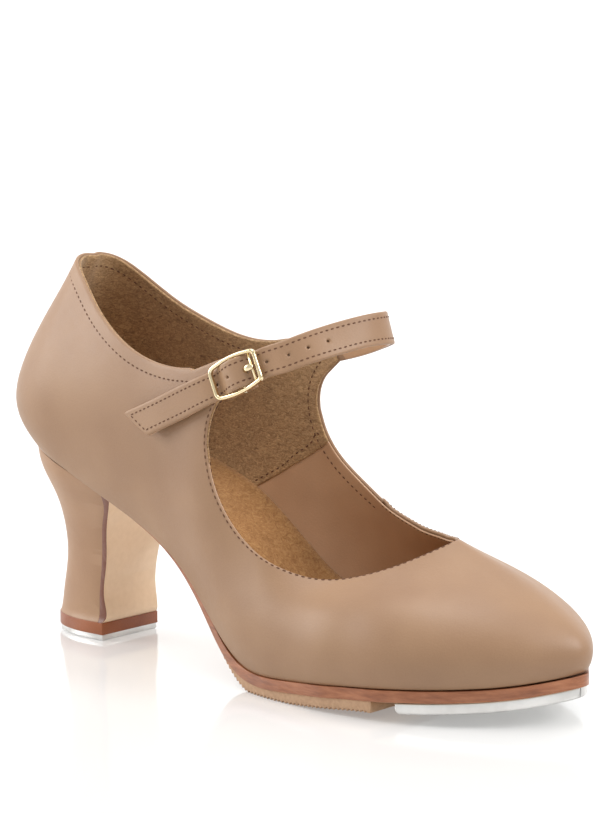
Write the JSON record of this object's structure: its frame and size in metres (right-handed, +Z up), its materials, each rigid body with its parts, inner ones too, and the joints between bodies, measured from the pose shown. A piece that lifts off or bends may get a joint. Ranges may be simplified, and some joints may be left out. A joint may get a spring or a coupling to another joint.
{
  "type": "tap shoe",
  "caption": "Heeled character tap shoe with a buckled instep strap, leather upper and sole, rubber half sole, and metal taps under toe and heel.",
  "frame": {"origin": "centre of the heel tap's flat lower face, on the floor", "axes": "+X to the toe, +Y to the inner (medial) side, +Z up"},
  "size_m": [0.2254, 0.0784, 0.126],
  "materials": {
    "upper_leather": "smooth, semi-matt",
    "backing_fabric": "woven",
    "stiffener_board": "matt",
    "suede_lining": "napped",
    "leather_lining": "smooth",
    "insole_board": "pressed fibre board",
    "cushion_foam": "latex foam",
    "sock_suede": "napped",
    "shank_steel": "rolled",
    "cork_filler": "cork",
    "sole_leather": "painted edge",
    "tread_rubber": "ribbed",
    "tap_alloy": "polished",
    "screw_steel": "plain",
    "heel_plastic": "moulded",
    "lift_leather": "painted",
    "gilt_buckle": "polished pale gilt"
  },
  "bodies": {
    "shoe": {"vamp": "upper_leather", "medial_quarter": "upper_leather", "heel_cover": "upper_leather", "buckle_chape": "upper_leather", "interlining": "backing_fabric", "heel_counter": "stiffener_board", "toe_puff": "stiffener_board", "quarter_lining": "suede_lining", "vamp_lining": "leather_lining", "insole_board": "insole_board", "insole_cushion": "cushion_foam", "sock_lining": "sock_suede", "shank": "shank_steel", "bottom_filler": "cork_filler", "outsole": "sole_leather", "half_sole": "tread_rubber", "toe_tap": "tap_alloy", "heel_tap": "tap_alloy", "toe_tap_screws": "screw_steel", "heel_tap_screws": "screw_steel", "heel_nails": "screw_steel", "heel_core": "heel_plastic", "top_lift": "lift_leather"},
    "strap": {"ankle_strap": "upper_leather", "strap_lining": "leather_lining"},
    "buckle": {"buckle_frame": "gilt_buckle"},
    "prong": {"buckle_prong": "gilt_buckle"}
  },
  "joints": [
    {"name": "strap_swing", "type": "hinge", "parent": "shoe", "child": "strap", "pos_m": [0.0812, 0.0254, 0.10055], "axis": [0.5057, 0.0903, -0.8579], "range_deg": [0, 100], "deforming": ["ankle_strap", "strap_lining"]},
    {"name": "buckle_tilt", "type": "hinge", "parent": "shoe", "child": "buckle", "pos_m": [0.0884, -0.029, 0.0963], "axis": [-0.4426, 0.0551, 0.895], "range_deg": [0, 50]},
    {"name": "prong_swing", "type": "hinge", "parent": "buckle", "child": "prong", "pos_m": [0.0884, -0.029, 0.0963], "axis": [0.4426, -0.0551, -0.895], "range_deg": [0, 120]}
  ]
}
